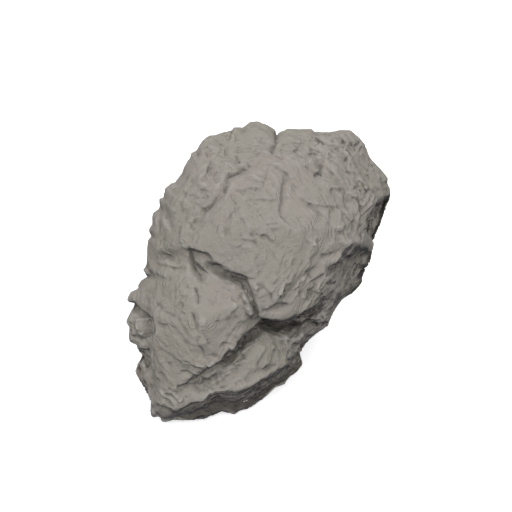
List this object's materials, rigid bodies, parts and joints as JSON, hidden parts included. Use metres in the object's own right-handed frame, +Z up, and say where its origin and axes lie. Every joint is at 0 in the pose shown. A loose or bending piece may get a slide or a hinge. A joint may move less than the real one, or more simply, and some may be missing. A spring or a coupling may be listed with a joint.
{
  "type": "flint nodule",
  "caption": "Fist-sized natural stone with blocky lobes, stepped ledges and an overhanging rim, lying on a small flat spot.",
  "frame": {"origin": "on the ground, under the middle of the stone's box", "axes": "+Z up, the broad leaning face and the overhanging slab look towards -Y"},
  "size_m": [0.1328, 0.1186, 0.1157],
  "materials": {
    "stone": "dull grey-beige weathered rind, fully matte"
  },
  "bodies": {
    "root": {"nodule": "stone"}
  },
  "joints": []
}
